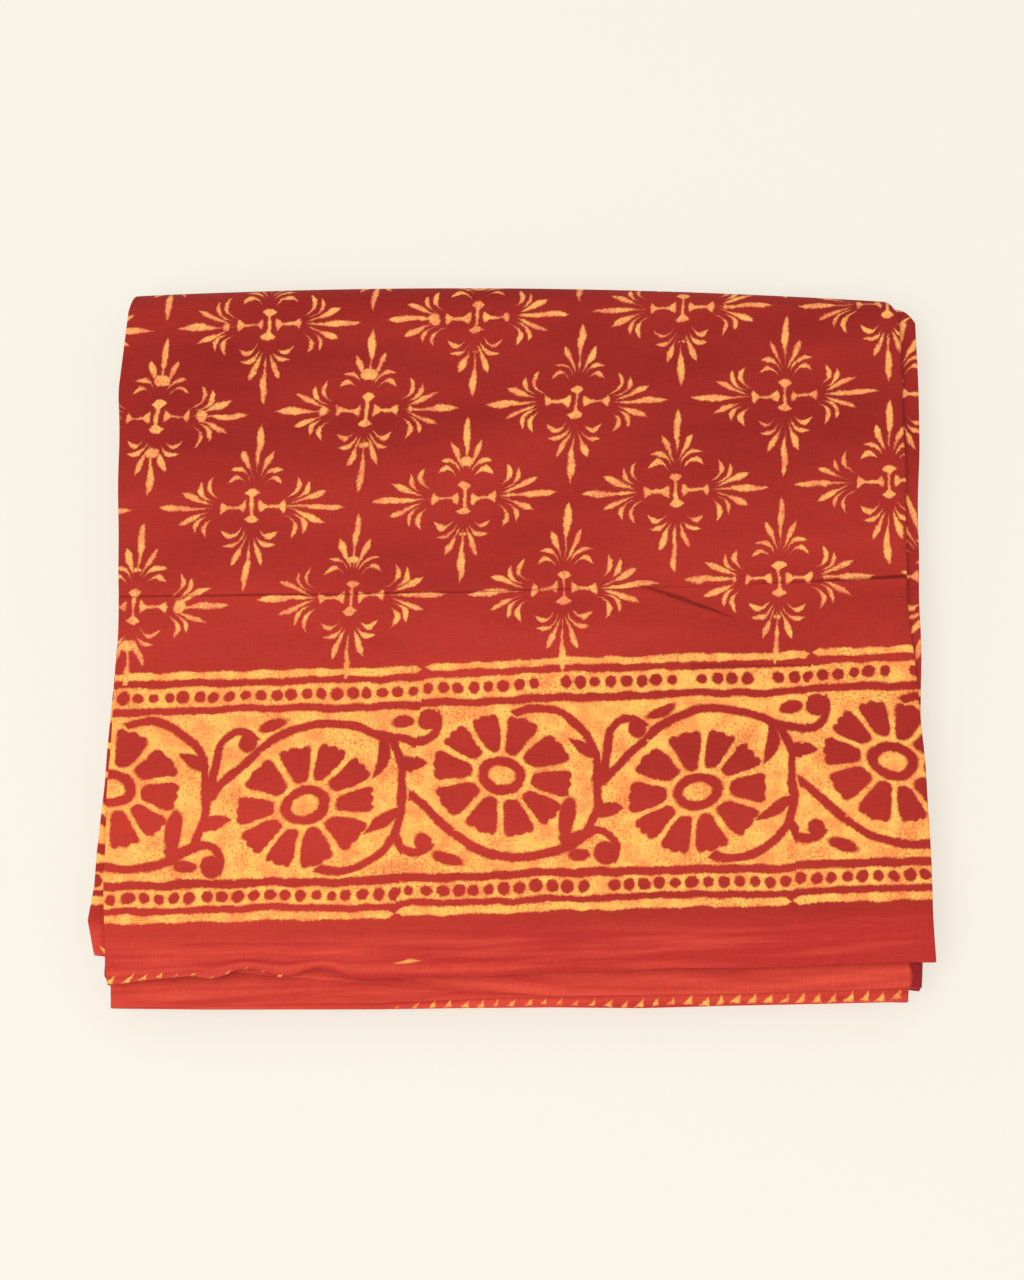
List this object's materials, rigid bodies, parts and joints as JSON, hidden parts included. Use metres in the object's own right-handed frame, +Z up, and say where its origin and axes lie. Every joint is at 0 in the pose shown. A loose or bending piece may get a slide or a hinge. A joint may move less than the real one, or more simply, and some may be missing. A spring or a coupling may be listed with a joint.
{
  "type": "folded block-printed dress cloth",
  "caption": "Length of thin cotton dress cloth, doubled, folded back and forth into panels and folded in half, with a flowered border along its hems.",
  "frame": {"origin": "middle of the folded pack's box, on the surface that it lies on", "axes": "+X across the pack along the hems, +Y from the hems to the thick far fold, +Z up through the layers"},
  "size_m": [0.3324, 0.3094, 0.0239],
  "materials": {
    "printed_cotton": "matte, fine plain weave"
  },
  "bodies": {
    "root": {"folded_cloth": "printed_cotton"}
  },
  "joints": []
}
